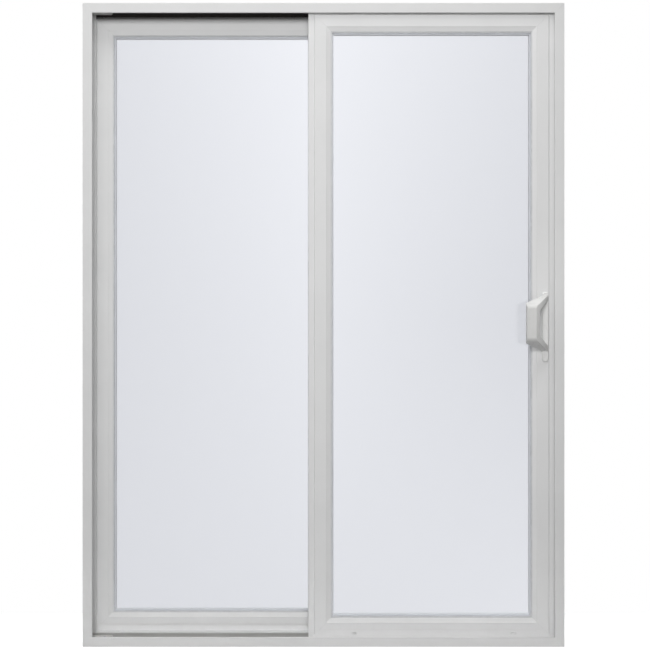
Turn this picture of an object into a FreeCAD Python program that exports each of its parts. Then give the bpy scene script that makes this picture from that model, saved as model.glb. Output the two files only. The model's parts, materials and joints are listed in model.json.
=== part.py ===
import FreeCAD, Part
import math
import os

import Sketcher

# A two-panel sliding patio door seen from the room: X to the right, Y out of the room, Z up.
# The origin is the middle of the sill's underside. The left panel is fixed in the outer lane
# and the right panel slides in the inner lane, to the left. All lengths are millimetres.

# Driving dimensions: name, value, meaning.
DIMENSIONS = [
    ("frame_width", 1511, "outer width of the frame"),
    ("frame_height", 2019, "outer height of the frame"),
    ("frame_back", 8, "wall behind the lanes of a frame member"),
    ("leg_face", 30, "face width of the frame's legs"),
    ("inner_leg", 6, "thickness of the room-side leg"),
    ("web", 15, "thickness of the web between the two lanes"),
    ("outer_leg", 9, "thickness of the weather-side leg"),
    ("nose_round", 2, "rounding of the legs' edges"),
    ("seal_slot_depth", 3, "depth of the seal slot in the web"),
    ("seal_slot_width", 14, "width of the seal slot in the web"),
    ("seal_slot_edge", 3, "web left between the seal slot and the web's edge"),
    ("running_gap", 5, "gap between the sliding panel and the frame"),
    ("sill_gap", 8, "gap under both panels"),
    ("lock_side_gap", 19, "gap between the lock stile and the jamb's wall"),
    ("meeting_overlap", 76, "overlap of the two panels"),
    ("sash_face", 70, "width of a panel member up to the glass"),
    ("bead_width", 12, "width of a glazing bead"),
    ("bead_depth", 8, "depth of a glazing bead"),
    ("bead_setback", 1, "step from the panel's face to the bead's outer edge"),
    ("bead_nose", 3, "depth of the bead's upright edge at the glass"),
    ("pane", 4, "thickness of one sheet of glass"),
    ("air_gap", 16, "air space between the two sheets"),
    ("glazing_leg", 6, "thickness of the weather-side glazing leg"),
    ("flange_width", 17, "width of the stepped-back flange round a panel"),
    ("flange_slope", 3, "width of the slope up to the panel's main face"),
    ("flange_step", 4, "depth of the stepped-back flange"),
    ("sash_round", 1.5, "rounding of a panel member's edges"),
    ("edge_groove", 22, "width of the groove round a panel's edge"),
    ("groove_depth", 10, "depth of the groove round a panel's edge"),
    ("roller_slot_depth", 36, "depth of the bottom rail's roller slot"),
    ("skirt_bottom", 12, "height of the skirt's lower edge over the panel's bottom"),
    ("skirt_height", 22, "height of the sloped skirt of the bottom rail"),
    ("skirt_lean", 3, "how far the skirt leans back at its top"),
    ("glass_edge_gap", 3, "gap between the glass and the bottom of its pocket"),
    ("spacer_width", 18, "width of the spacer between the sheets"),
    ("gasket_width", 4.5, "visible width of a glazing gasket"),
    ("gasket_depth", 2, "depth of a glazing gasket"),
    ("interlock_wall", 2.5, "wall of an interlock strip"),
    ("interlock_lip", 18, "width of an interlock hook"),
    ("interlock_bite", 10, "overlap of the two interlock hooks"),
    ("interlock_end_gap", 6, "gap between an interlock strip and the web"),
    ("stop_length", 75, "length of a travel stop"),
    ("stop_height", 13, "height of a travel stop over its lane's floor"),
    ("stop_side_gap", 2, "gap beside a travel stop in its lane"),
    ("stop_bevel", 3, "bevel of a travel stop's free corners"),
    ("track_base", 24, "width of the roller track's foot"),
    ("track_foot", 2, "thickness of the roller track's foot"),
    ("track_rib", 6, "width of the roller track's rib"),
    ("track_height", 12, "height of the roller track"),
    ("track_round", 2.5, "rounding of the track's rib"),
    ("track_end_gap", 2, "gap between the track and the jamb"),
    ("roller_gap", 0.3, "gap between a roller and the track"),
    ("roller_radius", 13, "radius of a roller at the bottom of its groove"),
    ("roller_flange", 2.5, "depth of a roller's groove"),
    ("roller_width", 12, "width of a roller"),
    ("roller_side_gap", 0.5, "gap between the rib and a roller's flange"),
    ("roller_flare", 1, "widening of a roller's groove at its mouth"),
    ("axle_radius", 3, "radius of a roller's axle"),
    ("axle_clearance", 0.1, "clearance of an axle in its carriage"),
    ("carriage_length", 100, "length of a roller carriage"),
    ("carriage_width", 20, "width of a roller carriage"),
    ("carriage_wall", 1.5, "wall of a roller carriage"),
    ("carriage_drop", 28, "height of a roller carriage"),
    ("roller_spacing", 50, "distance between the two rollers of a carriage"),
    ("left_roller_inset", 144, "left carriage's middle from the panel's left edge"),
    ("right_roller_inset", 130, "right carriage's middle from the panel's right edge"),
    ("plug_length", 19, "length of an adjuster plug's hole"),
    ("plug_height", 9, "height of an adjuster plug's hole"),
    ("plug_clearance", 0.15, "clearance of an adjuster plug in its hole"),
    ("plug_depth", 9, "depth of an adjuster plug's hole"),
    ("plug_proud", 0.8, "how far an adjuster plug stands out of the skirt's middle"),
    ("block_length", 100, "length of a setting block"),
    ("block_inset", 110, "setting block's outer end from the fixed panel's edge"),
    ("handle_height", 1015, "middle of the pulls above the sill's underside"),
    ("plate_width", 20, "width of the handle's plate"),
    ("plate_length", 220, "length of the handle's plate"),
    ("plate_drop", 12, "plate's middle below the middle of the pulls"),
    ("plate_margin", 1.5, "stile's face left beside the handle's plate"),
    ("plate_thickness", 7, "thickness of the handle's plate"),
    ("plate_bevel", 2.5, "bevel round the handle plate's front"),
    ("foot_width", 18, "width of a pull's foot"),
    ("foot_height", 15, "height of a pull's foot"),
    ("foot_span", 176, "outer distance between a pull's feet"),
    ("pull_offset", 55, "inside grip's middle from its feet, towards the glass"),
    ("pull_reach", 56, "inside grip's front from its plate"),
    ("pull_width", 30, "width of the inside grip"),
    ("pull_depth", 16, "depth of the inside grip"),
    ("pull_length", 104, "length of the inside grip's front, with its bends"),
    ("pull_arm", 13, "height of the inside pull's arms at the grip"),
    ("outer_pull_reach", 40, "outside grip's front from the stile"),
    ("outer_pull_width", 24, "width of the outside grip"),
    ("outer_pull_depth", 13, "depth of the outside grip"),
    ("outer_pull_length", 150, "length of the outside grip's front, with its bends"),
    ("outer_pull_arm", 14, "height of the outside pull's arms at the grip"),
    ("pull_round", 5, "rounding of a grip's long edges"),
    ("pull_bend", 15, "outer bend between a pull's arm and grip"),
    ("pull_crook", 9, "inner bend between a pull's arm and grip"),
    ("lock_length", 160, "length of the lock in the lock stile's edge"),
    ("hook_slot_width", 8, "width of the lock's hook slot"),
    ("hook_slot_length", 40, "length of the lock's hook slot"),
    ("hook_slot_depth", 6, "depth of the lock's hook slot"),
    ("keeper_length", 120, "length of the keeper on the jamb"),
    ("keeper_thickness", 3, "thickness of the keeper"),
    ("screw_radius", 3, "radius of a fixing hole in a jamb"),
    ("screw_inset", 250, "outer fixing hole from the end of a jamb"),
    ("weep_length", 40, "length of a weep slot in the sill"),
    ("weep_height", 6, "height of a weep slot in the sill"),
    ("weep_rise", 2, "weep slot's lower edge over the lane's floor"),
    ("weep_inset", 240, "weep slot's middle from the end of the sill"),
    ("cut_margin", 4, "how far a cut runs past the piece"),
]


class Size:
    """A length that knows its value and the sheet expression that drives it."""

    def __init__(self, value, text):
        self.value = float(value)
        self.text = text

    def __add__(self, other):
        return Size(self.value + other.value, f"({self.text} + {other.text})")

    def __sub__(self, other):
        return Size(self.value - other.value, f"({self.text} - {other.text})")

    def __mul__(self, factor):
        return Size(self.value * factor, f"({self.text} * {factor})")

    def __truediv__(self, divisor):
        return Size(self.value / divisor, f"({self.text} / {divisor})")

    def __neg__(self):
        return Size(-self.value, f"(0 - {self.text})")


ZERO = Size(0, "0")
RIGHT = FreeCAD.Vector(1, 0, 0)
UP = FreeCAD.Vector(0, 0, 1)
CLOSE = 0.01

doc = FreeCAD.newDocument("PatioDoor")
sheet = doc.addObject("Spreadsheet::Sheet", "Dims")
for row, (name, value, meaning) in enumerate(DIMENSIONS, start=1):
    sheet.set(f"A{row}", name)
    sheet.set(f"B{row}", str(value))
    sheet.set(f"C{row}", meaning)
    sheet.setAlias(f"B{row}", name)
doc.recompute()


def dim(name):
    """The named driving dimension."""
    return Size(sheet.get(name), f"Dims.{name}")


pieces = []


def keep(piece, label):
    """Give a finished sub-part its name and put it on the list of pieces."""
    piece.Label = label
    pieces.append(piece)
    return piece


def new_body(name):
    """An empty body."""
    return doc.addObject("PartDesign::Body", f"Body_{name}")


def plane_of(body, role):
    """One of a body's own origin planes."""
    return next(feature for feature in body.Origin.OriginFeatures if feature.Role == role)


def new_sketch(body, name, role, offset=ZERO):
    """An empty sketch on an origin plane, shifted along the plane's normal."""
    sketch = body.newObject("Sketcher::SketchObject", f"{name}_{body.Name}")
    sketch.AttachmentSupport = [(plane_of(body, role), "")]
    sketch.MapMode = "FlatFace"
    sketch.setExpression("AttachmentOffset.Base.z", offset.text)
    return sketch


def drive(sketch, constraint, size):
    """Add a constraint and tie it to a size."""
    index = sketch.addConstraint(constraint)
    sketch.setExpression(f"Constraints[{index}]", size.text)


def pin_point(sketch, geometry, end, place):
    """Fix one point of a sketch at a place given by two sizes."""
    across, up = place
    if across.text == ZERO.text:
        sketch.addConstraint(Sketcher.Constraint("PointOnObject", geometry, end, -2))
    else:
        drive(sketch, Sketcher.Constraint("DistanceX", -1, 1, geometry, end, across.value), across)
    if up.text == ZERO.text:
        sketch.addConstraint(Sketcher.Constraint("PointOnObject", geometry, end, -1))
    else:
        drive(sketch, Sketcher.Constraint("DistanceY", -1, 1, geometry, end, up.value), up)


def at(place):
    """The point of a sketch at a place given by two sizes."""
    return FreeCAD.Vector(place[0].value, place[1].value, 0)


def add_outline(sketch, corners):
    """Add a closed outline of straight lines through the corners."""
    first = sketch.GeometryCount
    count = len(corners)
    for index in range(count):
        line = Part.LineSegment(at(corners[index]), at(corners[(index + 1) % count]))
        sketch.addGeometry(line, False)
    for index in range(count):
        following = first + (index + 1) % count
        sketch.addConstraint(Sketcher.Constraint("Coincident", first + index, 2, following, 1))
    for index in range(count):
        pin_point(sketch, first + index, 1, corners[index])


def add_circle(sketch, centre, radius):
    """Add a circle."""
    circle = Part.Circle(at(centre), UP, radius.value)
    index = sketch.addGeometry(circle, False)
    drive(sketch, Sketcher.Constraint("Radius", index, radius.value), radius)
    pin_point(sketch, index, 3, centre)


def add_oblong(sketch, start, finish, radius, turn):
    """Add an oblong whose round ends are centred on two points; turn is its way in degrees."""
    first = sketch.GeometryCount
    way = FreeCAD.Vector(math.cos(math.radians(turn)), math.sin(math.radians(turn)), 0)
    side = FreeCAD.Vector(-way.y, way.x, 0) * radius.value
    begin, end = at(start), at(finish)
    quarter = math.radians(turn + 90)
    near = Part.ArcOfCircle(Part.Circle(begin, UP, radius.value), quarter, quarter + math.pi)
    far = Part.ArcOfCircle(Part.Circle(end, UP, radius.value), quarter - math.pi, quarter)
    sketch.addGeometry(near, False)
    sketch.addGeometry(Part.LineSegment(begin - side, end - side), False)
    sketch.addGeometry(far, False)
    sketch.addGeometry(Part.LineSegment(end + side, begin + side), False)
    sides = sketch.GeometryCount - first
    for index in range(sides):
        following = first + (index + 1) % sides
        sketch.addConstraint(Sketcher.Constraint("Tangent", first + index, 2, following, 1))
    drive(sketch, Sketcher.Constraint("Radius", first, radius.value), radius)
    pin_point(sketch, first, 3, start)
    pin_point(sketch, first + 2, 3, finish)


def pad(body, sketch, length):
    """Raise a sketch along its plane's normal."""
    feature = body.newObject("PartDesign::Pad", f"Pad_{sketch.Name}")
    feature.Profile = sketch
    feature.setExpression("Length", length.text)
    return feature


def cut_through(body, sketch):
    """Cut a sketch right through the body, both ways."""
    feature = body.newObject("PartDesign::Pocket", f"Cut_{sketch.Name}")
    feature.Profile = sketch
    feature.SideType = "Symmetric"
    feature.Type = "ThroughAll"
    return feature


def cut_blind(body, sketch, depth, backwards):
    """Cut a sketch to a depth, against its plane's normal or along it."""
    feature = body.newObject("PartDesign::Pocket", f"Cut_{sketch.Name}")
    feature.Profile = sketch
    feature.Reversed = backwards
    feature.setExpression("Length", depth.text)
    return feature


def edges_of_tip(body, chosen):
    """The body's newest feature with the names of its edges that a test picks out."""
    doc.recompute()
    base = body.Tip
    names = [f"Edge{number}" for number, edge in enumerate(base.Shape.Edges, start=1) if chosen(edge)]
    return base, names


def round_edges(body, radius, chosen):
    """Round the edges that a test picks out."""
    base, names = edges_of_tip(body, chosen)
    fillet = body.newObject("PartDesign::Fillet", f"Round_{body.Name}")
    fillet.Base = (base, names)
    fillet.setExpression("Radius", radius.text)
    return fillet


def bevel_edges(body, size, chosen):
    """Bevel the edges that a test picks out."""
    base, names = edges_of_tip(body, chosen)
    chamfer = body.newObject("PartDesign::Chamfer", f"Bevel_{body.Name}")
    chamfer.Base = (base, names)
    chamfer.setExpression("Size", size.text)
    return chamfer


def runs_along(edge, direction):
    """True for a straight edge that runs along a direction."""
    if len(edge.Vertexes) != 2 or not isinstance(edge.Curve, Part.Line):
        return False
    return edge.Curve.Direction.cross(direction).Length < CLOSE


def box(name, low, high):
    """A plain block between two corners, each given by three sizes."""
    block = doc.addObject("Part::Box", name)
    for side, axis, start, finish in zip(("Length", "Width", "Height"), "xyz", low, high):
        block.setExpression(side, (finish - start).text)
        block.setExpression(f"Placement.Base.{axis}", start.text)
    return block


def cut_from(name, base, tool):
    """One solid with another cut out of it."""
    cut = doc.addObject("Part::Cut", name)
    cut.Base = base
    cut.Tool = tool
    return cut


def set_of(name, members):
    """Several like solids that share a node."""
    group = doc.addObject("Part::Compound", name)
    group.Links = members
    return group


# Depths, from the frame's room face outwards.
sash_depth = dim("bead_depth") + dim("pane") * 2 + dim("air_gap") + dim("glazing_leg")
lane = sash_depth + dim("running_gap") * 2
frame_depth = dim("inner_leg") + lane + dim("web") + sash_depth + dim("outer_leg")
room_face = -(frame_depth / 2)
web_face = room_face + dim("inner_leg") + lane
sliding_face = room_face + dim("inner_leg") + dim("running_gap")
sliding_back = sliding_face + sash_depth
fixed_face = web_face + dim("web")
lane_middle = sliding_face + sash_depth / 2


class Opening:
    """An upright rectangle with its left, bottom, right and top."""

    def __init__(self, left, bottom, right, top):
        self.left = left
        self.bottom = bottom
        self.right = right
        self.top = top

    def inset(self, border):
        """The rectangle inside an even border."""
        return Opening(self.left + border, self.bottom + border, self.right - border, self.top - border)


frame_outline = Opening(-(dim("frame_width") / 2), ZERO, dim("frame_width") / 2, dim("frame_height"))
frame_walls = frame_outline.inset(dim("frame_back"))
lock_edge = frame_walls.right - dim("lock_side_gap")
panel_width = (lock_edge - frame_walls.left + dim("meeting_overlap")) / 2
panel_bottom = frame_walls.bottom + dim("sill_gap")
sliding_outline = Opening(
    lock_edge - panel_width, panel_bottom, lock_edge, frame_walls.top - dim("running_gap")
)
fixed_outline = Opening(
    frame_walls.left, panel_bottom, frame_walls.left + panel_width, frame_walls.top
)


def mitre_corners(outline, side, reach):
    """The two triangles that cut a member's ends at 45 degrees."""
    margin = dim("cut_margin")
    past = reach + margin
    left, bottom = outline.left, outline.bottom
    right, top = outline.right, outline.top
    low_left = (left - margin, bottom - margin)
    low_right = (right + margin, bottom - margin)
    high_left = (left - margin, top + margin)
    high_right = (right + margin, top + margin)
    inner_low_left = (left + past, bottom + past)
    inner_low_right = (right - past, bottom + past)
    inner_high_left = (left + past, top - past)
    inner_high_right = (right - past, top - past)
    if side == "left":
        lower = [low_left, (left + past, bottom - margin), inner_low_left]
        upper = [high_left, inner_high_left, (left + past, top + margin)]
    elif side == "right":
        lower = [low_right, inner_low_right, (right - past, bottom - margin)]
        upper = [high_right, (right - past, top + margin), inner_high_right]
    elif side == "bottom":
        lower = [low_left, inner_low_left, (left - margin, bottom + past)]
        upper = [low_right, (right + margin, bottom + past), inner_low_right]
    else:
        lower = [high_left, (left - margin, top - past), inner_high_left]
        upper = [high_right, inner_high_right, (right + margin, top - past)]
    return lower, upper


def mitred_member(label, outline, side, front, profile, reach, rounding=None, noses=()):
    """One side of a mitred frame, with some corners of its profile rounded.

    The points of the profile and of its noses are (in from the outline, back from the front).
    """
    body = new_body(label)
    upright = side in ("left", "right")

    def in_section(point):
        inwards, depth = point
        if side == "left":
            return (outline.left + inwards, front + depth)
        if side == "right":
            return (outline.right - inwards, front + depth)
        if side == "bottom":
            return (front + depth, outline.bottom + inwards)
        return (front + depth, outline.top - inwards)

    if upright:
        sketch = new_sketch(body, "Section", "XY_Plane", outline.bottom)
        length = outline.top - outline.bottom
        along = UP
    else:
        sketch = new_sketch(body, "Section", "YZ_Plane", outline.left)
        length = outline.right - outline.left
        along = RIGHT
    add_outline(sketch, [in_section(point) for point in profile])
    pad(body, sketch, length)
    if rounding is not None:
        spots = [at(in_section(point)) for point in noses]

        def on_nose(edge):
            middle = edge.CenterOfMass
            across, up = (middle.x, middle.y) if upright else (middle.y, middle.z)
            here = FreeCAD.Vector(across, up, 0)
            return runs_along(edge, along) and any(here.distanceToPoint(spot) < CLOSE for spot in spots)

        round_edges(body, rounding, on_nose)
    ends = new_sketch(body, "Mitre", "XZ_Plane")
    for triangle in mitre_corners(outline, side, reach):
        add_outline(ends, triangle)
    cut_through(body, ends)
    return body


# The frame: four mitred members with two lanes.
slot_top = dim("leg_face") - dim("seal_slot_edge")
slot_foot = slot_top - dim("seal_slot_width")
web_start = dim("inner_leg") + lane
web_end = web_start + dim("web")
outer_start = web_end + sash_depth
frame_profile = [
    (ZERO, ZERO),
    (dim("leg_face"), ZERO),
    (dim("leg_face"), dim("inner_leg")),
    (dim("frame_back"), dim("inner_leg")),
    (dim("frame_back"), web_start),
    (slot_foot, web_start),
    (slot_foot, web_start + dim("seal_slot_depth")),
    (slot_top, web_start + dim("seal_slot_depth")),
    (slot_top, web_start),
    (dim("leg_face"), web_start),
    (dim("leg_face"), web_end),
    (dim("frame_back"), web_end),
    (dim("frame_back"), outer_start),
    (dim("leg_face"), outer_start),
    (dim("leg_face"), frame_depth),
    (ZERO, frame_depth),
]
leg_noses = [
    (dim("leg_face"), ZERO),
    (dim("leg_face"), dim("inner_leg")),
    (dim("leg_face"), web_start),
    (dim("leg_face"), frame_depth),
]


def fixing_holes(body, lane_y):
    """Two holes through a jamb's wall, in an empty lane."""
    sketch = new_sketch(body, "Fixings", "YZ_Plane")
    for height in (dim("screw_inset"), dim("frame_height") - dim("screw_inset")):
        add_circle(sketch, (lane_y, height), dim("screw_radius"))
    cut_through(body, sketch)


def weep_slots(body):
    """Two slots through the sill's weather-side leg that let water out of the fixed lane."""
    weather_face = room_face + frame_depth
    sketch = new_sketch(body, "Weeps", "XZ_Plane", -weather_face)
    radius = dim("weep_height") / 2
    height = dim("frame_back") + dim("weep_rise") + radius
    half = dim("weep_length") / 2 - radius
    place = dim("frame_width") / 2 - dim("weep_inset")
    for middle in (-place, place):
        add_oblong(sketch, (middle - half, height), (middle + half, height), radius, 0)
    cut_blind(body, sketch, dim("outer_leg"), True)


def frame_member(label, side):
    """One side of the frame."""
    return mitred_member(
        label, frame_outline, side, room_face, frame_profile, dim("leg_face"), dim("nose_round"), leg_noses
    )


keep(frame_member("frame_head", "top"), "frame_head")
frame_sill = keep(frame_member("frame_sill", "bottom"), "frame_sill")
weep_slots(frame_sill)
left_jamb = keep(frame_member("left_jamb", "left"), "left_jamb")
fixing_holes(left_jamb, lane_middle)
right_jamb = keep(frame_member("right_jamb", "right"), "right_jamb")
fixing_holes(right_jamb, fixed_face + sash_depth / 2)

# The two panels: mitred members, beads, sealed glass and gaskets.
sash_body = dim("sash_face") - dim("bead_width")
glazing_back = sash_depth - dim("glazing_leg")
groove_near = sash_depth / 2 - dim("edge_groove") / 2
groove_far = sash_depth / 2 + dim("edge_groove") / 2


def sash_profile(groove_depth, skirted):
    """A panel member's section, with the groove in its outer edge."""
    skirt_top = dim("skirt_bottom") + dim("skirt_height")
    if skirted:
        face = [
            (dim("skirt_bottom"), dim("flange_step")),
            (dim("skirt_bottom"), ZERO),
            (skirt_top, dim("skirt_lean")),
            (skirt_top, ZERO),
        ]
    else:
        face = [
            (dim("flange_width"), dim("flange_step")),
            (dim("flange_width") + dim("flange_slope"), ZERO),
        ]
    return [
        (ZERO, dim("flange_step")),
        *face,
        (sash_body, ZERO),
        (sash_body, glazing_back),
        (dim("sash_face"), glazing_back),
        (dim("sash_face"), sash_depth),
        (ZERO, sash_depth),
        (ZERO, groove_far),
        (groove_depth, groove_far),
        (groove_depth, groove_near),
        (ZERO, groove_near),
    ]


sash_noses = [
    (sash_body, ZERO),
    (dim("sash_face"), sash_depth),
    (ZERO, sash_depth),
]
bead_profile = [
    (sash_body, dim("bead_setback")),
    (dim("sash_face"), dim("bead_depth") - dim("bead_nose")),
    (dim("sash_face"), dim("bead_depth")),
    (sash_body, dim("bead_depth")),
]


def sash_member(label, outline, side, front):
    """One side of a panel, rounded at its main face, its glazing leg and its back."""
    skirted = side == "bottom"
    depth = dim("roller_slot_depth") if skirted else dim("groove_depth")
    profile = sash_profile(depth, skirted)
    body = mitred_member(
        label, outline, side, front, profile, dim("sash_face"), dim("sash_round"), sash_noses
    )
    return keep(body, label)


def bead(label, outline, side, front):
    """One glazing bead."""
    body = mitred_member(label, outline, side, front, bead_profile, dim("sash_face"))
    return keep(body, label)


def ring(name, outer, inner, start, finish):
    """A flat rectangular ring between two depths."""
    margin = dim("cut_margin")
    block = box(
        f"{name}_block", (outer.left, start, outer.bottom), (outer.right, finish, outer.top)
    )
    window = box(
        f"{name}_window",
        (inner.left, start - margin, inner.bottom),
        (inner.right, finish + margin, inner.top),
    )
    return cut_from(name, block, window)


def glazing(name, outline, front):
    """A panel's two sheets of glass, the spacer between them and the gaskets."""
    glass = outline.inset(sash_body + dim("glass_edge_gap"))
    sight = outline.inset(dim("sash_face"))
    room_side = front + dim("bead_depth")
    room_back = room_side + dim("pane")
    weather_front = room_back + dim("air_gap")
    weather_side = weather_front + dim("pane")

    def sheet_of_glass(which, start, finish):
        low = (glass.left, start, glass.bottom)
        high = (glass.right, finish, glass.top)
        return box(f"{name}_{which}_sheet", low, high)

    sheets = [
        sheet_of_glass("room", room_side, room_back),
        sheet_of_glass("weather", weather_front, weather_side),
    ]
    keep(set_of(f"{name}_panes", sheets), f"{name}_glass_panes")
    spacer = ring(
        f"{name}_spacer", glass, glass.inset(dim("spacer_width")), room_back, weather_front
    )
    keep(spacer, f"{name}_glass_spacer")
    clear = sight.inset(dim("gasket_width"))
    gaskets = [
        ring(f"{name}_room_gasket", sight, clear, room_side - dim("gasket_depth"), room_side),
        ring(f"{name}_weather_gasket", sight, clear, weather_side, weather_side + dim("gasket_depth")),
    ]
    keep(set_of(f"{name}_gaskets", gaskets), f"{name}_glazing_gaskets")


FIXED_STILES = {"left": "fixed_jamb_stile", "right": "fixed_meeting_stile"}
SLIDING_STILES = {"left": "sliding_meeting_stile", "right": "sliding_lock_stile"}
RAILS = {"top": "top_rail", "bottom": "bottom_rail"}
BEADS = {"left": "left_bead", "right": "right_bead", "top": "top_bead", "bottom": "bottom_bead"}
sash = {}
for name, outline, front, stiles in (
    ("fixed", fixed_outline, fixed_face, FIXED_STILES),
    ("sliding", sliding_outline, sliding_face, SLIDING_STILES),
):
    for side, label in stiles.items():
        sash[label] = sash_member(label, outline, side, front)
    for side, rail in RAILS.items():
        sash[f"{name}_{rail}"] = sash_member(f"{name}_{rail}", outline, side, front)
    for side, strip in BEADS.items():
        bead(f"{name}_{strip}", outline, side, front)
    glazing(name, outline, front)

# Setting blocks carry the fixed panel on the sill.
block_back = fixed_face + sash_depth
blocks = []
for number, start in enumerate(
    (
        fixed_outline.left + dim("block_inset"),
        fixed_outline.right - dim("block_inset") - dim("block_length"),
    )
):
    low = (start, fixed_face, frame_walls.bottom)
    high = (start + dim("block_length"), block_back, panel_bottom)
    blocks.append(box(f"setting_block_{number}", low, high))
keep(set_of("blocks", blocks), "setting_blocks")

# The interlock: two strips whose hooks pass each other with room to run.
interlock_bottom = dim("leg_face") + dim("interlock_end_gap")
interlock_length = dim("frame_height") - interlock_bottom * 2
meeting_middle = (sliding_outline.left + fixed_outline.right) / 2
fixed_hook_face = sliding_back + dim("running_gap")
sliding_hook_face = fixed_face - dim("running_gap") - dim("interlock_wall")


def interlock(label, root, tip, stile_face, hook_near, hook_far):
    """An angle strip that stands on a stile and ends in a hook."""
    wall = dim("interlock_wall") if tip.value > root.value else -dim("interlock_wall")
    body = new_body(label)
    sketch = new_sketch(body, "Section", "XY_Plane", interlock_bottom)
    corners = [
        (root, stile_face),
        (root, hook_far),
        (tip, hook_far),
        (tip, hook_near),
        (root + wall, hook_near),
        (root + wall, stile_face),
    ]
    add_outline(sketch, corners)
    pad(body, sketch, interlock_length)
    return keep(body, label)


half_bite = dim("interlock_bite") / 2
interlock(
    "sliding_interlock",
    meeting_middle + half_bite - dim("interlock_lip"),
    meeting_middle + half_bite,
    sliding_back,
    sliding_hook_face,
    sliding_hook_face + dim("interlock_wall"),
)
interlock(
    "fixed_interlock",
    meeting_middle - half_bite + dim("interlock_lip"),
    meeting_middle - half_bite,
    fixed_face,
    fixed_hook_face + dim("interlock_wall"),
    fixed_hook_face,
)

# Travel stops fill the sliding lane beside the left jamb, at the sill and at the head.
stop_end = frame_walls.left + dim("stop_length")
stop_near = room_face + dim("inner_leg") + dim("stop_side_gap")
stop_far = web_face - dim("stop_side_gap")


def travel_stop(label, seat, reach):
    """A block on a lane's floor, bevelled where the panel meets it."""
    body = new_body(label)
    sketch = new_sketch(body, "Side", "XZ_Plane", -stop_far)
    bevel = dim("stop_bevel") if reach.value > seat.value else -dim("stop_bevel")
    corners = [
        (frame_walls.left, seat),
        (stop_end, seat),
        (stop_end, reach - bevel),
        (stop_end - dim("stop_bevel"), reach),
        (frame_walls.left, reach),
    ]
    add_outline(sketch, corners)
    pad(body, sketch, stop_far - stop_near)
    return keep(body, label)


travel_stop("sill_stop", frame_walls.bottom, frame_walls.bottom + dim("stop_height"))
travel_stop("head_stop", frame_walls.top, frame_walls.top - dim("stop_height"))

# The roller track on the sill and the dark seal that runs the length of the head's slot.
track_body = new_body("track")
track_sketch = new_sketch(track_body, "Section", "YZ_Plane", stop_end)
half_foot = dim("track_base") / 2
half_rib = dim("track_rib") / 2
track_floor = frame_walls.bottom
foot_top = track_floor + dim("track_foot")
track_top = track_floor + dim("track_height")
add_outline(
    track_sketch,
    [
        (lane_middle - half_foot, track_floor),
        (lane_middle + half_foot, track_floor),
        (lane_middle + half_foot, foot_top),
        (lane_middle + half_rib, foot_top),
        (lane_middle + half_rib, track_top),
        (lane_middle - half_rib, track_top),
        (lane_middle - half_rib, foot_top),
        (lane_middle - half_foot, foot_top),
    ],
)
track_end = frame_walls.right - dim("track_end_gap")
pad(track_body, track_sketch, track_end - stop_end)


def on_track_top(edge):
    """True for the two long edges of the track's rib."""
    return runs_along(edge, RIGHT) and abs(edge.CenterOfMass.z - track_top.value) < CLOSE


round_edges(track_body, dim("track_round"), on_track_top)
keep(track_body, "roller_track")

leg_edges = frame_outline.inset(dim("leg_face"))
seal_top = dim("frame_height") - slot_foot
seal_bottom = dim("frame_height") - slot_top
seal = box(
    "head_seal",
    (leg_edges.left, web_face, seal_bottom),
    (leg_edges.right, web_face + dim("seal_slot_depth"), seal_top),
)
keep(seal, "head_pile_seal")

# Roller carriages in the bottom rail's slot, with two grooved rollers each.
slot_roof = panel_bottom + dim("roller_slot_depth")
roller_height = track_top + dim("roller_gap") + dim("roller_radius")
carriage_places = {
    "left": sliding_outline.left + dim("left_roller_inset"),
    "right": sliding_outline.right - dim("right_roller_inset"),
}


def roller_carriage(label, middle):
    """A channel that hangs in the slot, with two pairs of axle holes."""
    body = new_body(label)
    start = middle - dim("carriage_length") / 2
    sketch = new_sketch(body, "Section", "YZ_Plane", start)
    half = dim("carriage_width") / 2
    inner = half - dim("carriage_wall")
    bottom = slot_roof - dim("carriage_drop")
    add_outline(
        sketch,
        [
            (lane_middle - half, bottom),
            (lane_middle - inner, bottom),
            (lane_middle - inner, slot_roof - dim("carriage_wall")),
            (lane_middle + inner, slot_roof - dim("carriage_wall")),
            (lane_middle + inner, bottom),
            (lane_middle + half, bottom),
            (lane_middle + half, slot_roof),
            (lane_middle - half, slot_roof),
        ],
    )
    pad(body, sketch, dim("carriage_length"))
    holes = new_sketch(body, "Axles", "XZ_Plane")
    for place in roller_places(middle):
        add_circle(holes, (place, roller_height), dim("axle_radius") + dim("axle_clearance"))
    cut_through(body, holes)
    return keep(body, label)


def roller_places(middle):
    """Where a carriage's two rollers stand along the track."""
    return (middle - dim("roller_spacing") / 2, middle + dim("roller_spacing") / 2)


def roller(name, place):
    """A grooved roller with its axle, turned about the axle."""
    body = new_body(name)
    sketch = new_sketch(body, "Section", "YZ_Plane")
    rim = dim("roller_radius") + dim("roller_flange")
    half_axle = dim("carriage_width") / 2
    half_width = dim("roller_width") / 2
    half_groove = dim("track_rib") / 2 + dim("roller_side_gap")
    half_mouth = half_groove + dim("roller_flare")
    add_outline(
        sketch,
        [
            (-half_axle, ZERO),
            (half_axle, ZERO),
            (half_axle, dim("axle_radius")),
            (half_width, dim("axle_radius")),
            (half_width, rim),
            (half_mouth, rim),
            (half_groove, dim("roller_radius")),
            (-half_groove, dim("roller_radius")),
            (-half_mouth, rim),
            (-half_width, rim),
            (-half_width, dim("axle_radius")),
            (-half_axle, dim("axle_radius")),
        ],
    )
    turned = body.newObject("PartDesign::Revolution", f"Turn_{name}")
    turned.Profile = sketch
    turned.ReferenceAxis = (sketch, ["H_Axis"])
    turned.Angle = 360
    for axis, size in zip("xyz", (place, lane_middle, roller_height)):
        body.setExpression(f"Placement.Base.{axis}", size.text)
    return body


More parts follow.
